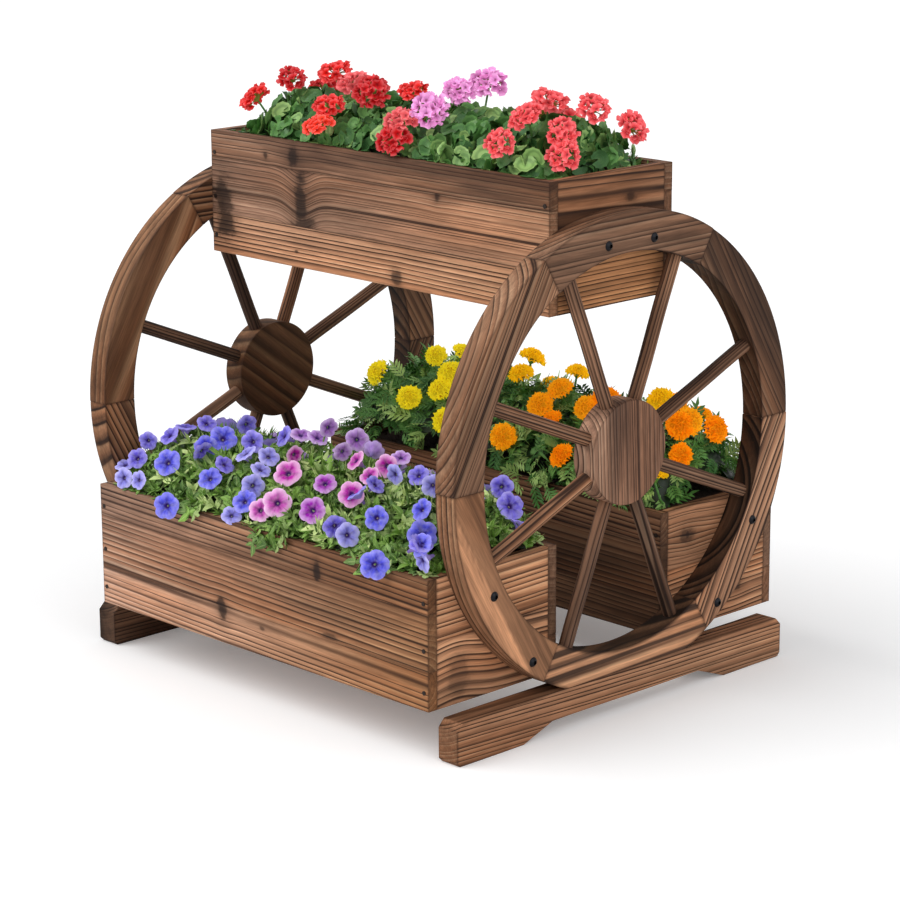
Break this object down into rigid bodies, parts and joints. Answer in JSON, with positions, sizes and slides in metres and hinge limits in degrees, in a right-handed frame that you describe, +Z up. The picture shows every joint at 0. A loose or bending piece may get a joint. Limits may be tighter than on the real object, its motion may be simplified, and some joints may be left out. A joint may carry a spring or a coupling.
{
  "type": "flower cart stand",
  "caption": "Wagon-wheel planter stand of torched fir: two spoked wheels on foot bars carry one raised and two low planter boxes with lift-out plantings.",
  "frame": {"origin": "on the ground under the middle of the stand, at the centre of its bounding box", "axes": "+X along the boxes towards the right wheel, -Y to the front box, +Z up"},
  "size_m": [0.5818, 0.5232, 0.6468],
  "materials": {
    "torched_fir_board": "torched and brushed fir, matt",
    "torched_fir_wheel": "torched and brushed fir, matt",
    "torched_fir_spoke": "torched and brushed fir, matt",
    "torched_fir_bar": "torched and brushed fir, matt",
    "beech_dowel": "plain sanded beech",
    "black_steel": "black oxide steel, satin",
    "zinc_steel": "zinc plated steel",
    "dark_steel": "dark bare steel",
    "potting_soil": "loose dark potting soil",
    "petunia_leaf": "soft matt leaf",
    "marigold_leaf": "ferny matt leaf",
    "geranium_leaf": "soft matt leaf",
    "petunia_petal": "velvety petal",
    "marigold_petal": "ruffled petal",
    "geranium_petal": "velvety petal"
  },
  "bodies": {
    "stand": {"left_felloe_1": "torched_fir_wheel", "left_felloe_2": "torched_fir_wheel", "left_felloe_3": "torched_fir_wheel", "left_felloe_4": "torched_fir_wheel", "left_felloe_5": "torched_fir_wheel", "left_felloe_6": "torched_fir_wheel", "left_hub": "torched_fir_wheel", "left_spoke_1": "torched_fir_spoke", "left_spoke_2": "torched_fir_spoke", "left_spoke_3": "torched_fir_spoke", "left_spoke_4": "torched_fir_spoke", "left_spoke_5": "torched_fir_spoke", "left_spoke_6": "torched_fir_spoke", "left_spoke_7": "torched_fir_spoke", "left_spoke_8": "torched_fir_spoke", "left_foot_bar": "torched_fir_bar", "right_felloe_1": "torched_fir_wheel", "right_felloe_2": "torched_fir_wheel", "right_felloe_3": "torched_fir_wheel", "right_felloe_4": "torched_fir_wheel", "right_felloe_5": "torched_fir_wheel", "right_felloe_6": "torched_fir_wheel", "right_hub": "torched_fir_wheel", "right_spoke_1": "torched_fir_spoke", "right_spoke_2": "torched_fir_spoke", "right_spoke_3": "torched_fir_spoke", "right_spoke_4": "torched_fir_spoke", "right_spoke_5": "torched_fir_spoke", "right_spoke_6": "torched_fir_spoke", "right_spoke_7": "torched_fir_spoke", "right_spoke_8": "torched_fir_spoke", "right_foot_bar": "torched_fir_bar", "front_box_front_side": "torched_fir_board", "front_box_rear_side": "torched_fir_board", "front_box_left_end": "torched_fir_board", "front_box_right_end": "torched_fir_board", "front_box_floor": "torched_fir_board", "rear_box_front_side": "torched_fir_board", "rear_box_rear_side": "torched_fir_board", "rear_box_left_end": "torched_fir_board", "rear_box_right_end": "torched_fir_board", "rear_box_floor": "torched_fir_board", "top_box_front_side": "torched_fir_board", "top_box_rear_side": "torched_fir_board", "top_box_left_end": "torched_fir_board", "top_box_right_end": "torched_fir_board", "top_box_floor": "torched_fir_board", "rim_dowels": "beech_dowel", "socket_bolts": "black_steel", "insert_nuts": "zinc_steel", "box_nails": "dark_steel"},
    "petunias": {"petunia_soil": "potting_soil", "petunia_foliage": "petunia_leaf", "petunia_blooms": "petunia_petal"},
    "marigolds": {"marigold_soil": "potting_soil", "marigold_foliage": "marigold_leaf", "marigold_blooms": "marigold_petal"},
    "geraniums": {"geranium_soil": "potting_soil", "geranium_foliage": "geranium_leaf", "geranium_blooms": "geranium_petal"}
  },
  "joints": [
    {"name": "petunias_lift", "type": "slide", "parent": "stand", "child": "petunias", "axis": [0, 0, 1], "range_m": [0, 0.16]},
    {"name": "marigolds_lift", "type": "slide", "parent": "stand", "child": "marigolds", "axis": [0, 0, 1], "range_m": [0, 0.16]},
    {"name": "geraniums_lift", "type": "slide", "parent": "stand", "child": "geraniums", "axis": [0, 0, 1], "range_m": [0, 0.16]}
  ]
}
